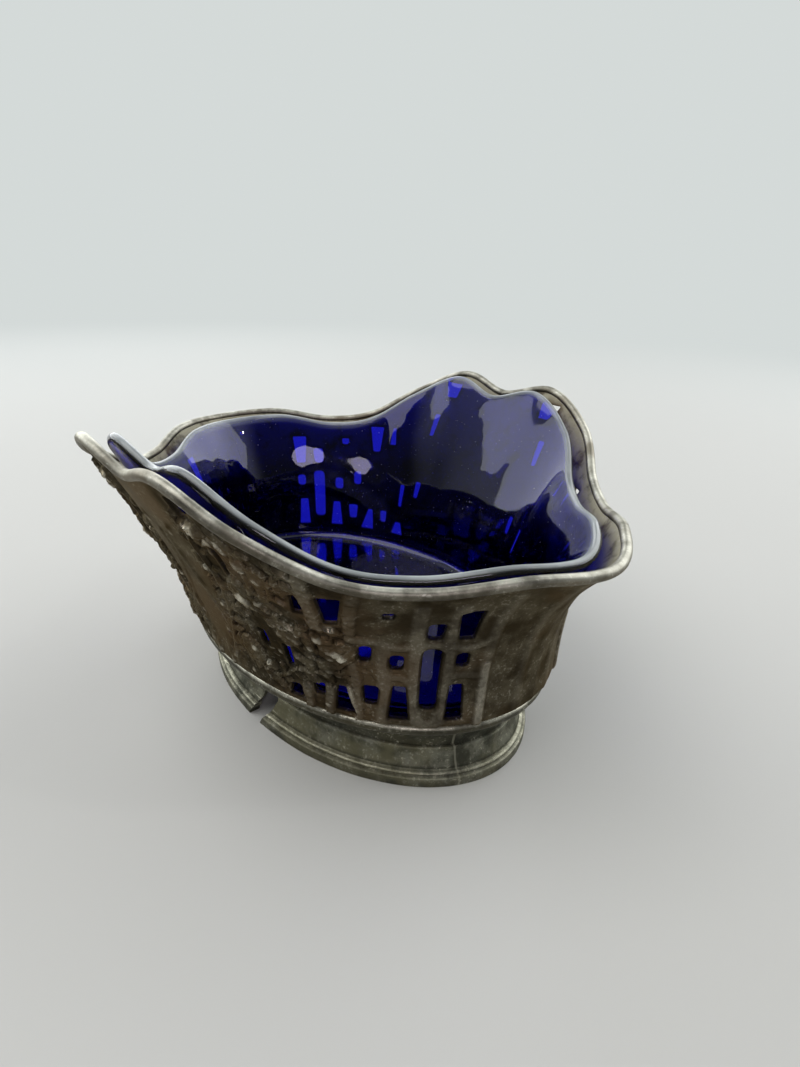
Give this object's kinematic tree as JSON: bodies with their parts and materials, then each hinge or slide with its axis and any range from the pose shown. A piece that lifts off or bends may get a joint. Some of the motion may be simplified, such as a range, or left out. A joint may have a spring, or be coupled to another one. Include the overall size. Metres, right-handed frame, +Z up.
{
  "type": "footed bowl",
  "caption": "Oval pierced metal basket with a wavy flared rim on an oval foot, holding a loose lift-out glass liner as a sugar or sweet bowl.",
  "frame": {"origin": "middle of the foot's underside, on the surface that the bowl stands on", "axes": "+X along the long way of the oval, +Y across it, +Z up"},
  "size_m": [0.1608, 0.137, 0.087],
  "materials": {
    "foot_metal": "tarnished, satin",
    "wall_metal": "tarnished, satin",
    "wire_metal": "worn, satin",
    "cobalt_glass": "polished"
  },
  "bodies": {
    "basket": {"foot_ring": "foot_metal", "floor_plate": "foot_metal", "base_wire": "wire_metal", "front_wall": "wall_metal", "back_wall": "wall_metal", "rim_wire": "wire_metal"},
    "liner": {"glass_liner": "cobalt_glass"}
  },
  "joints": [
    {"name": "liner_lift", "type": "slide", "parent": "basket", "child": "liner", "axis": [0, 0, 1], "range_m": [0, 0.08]}
  ]
}
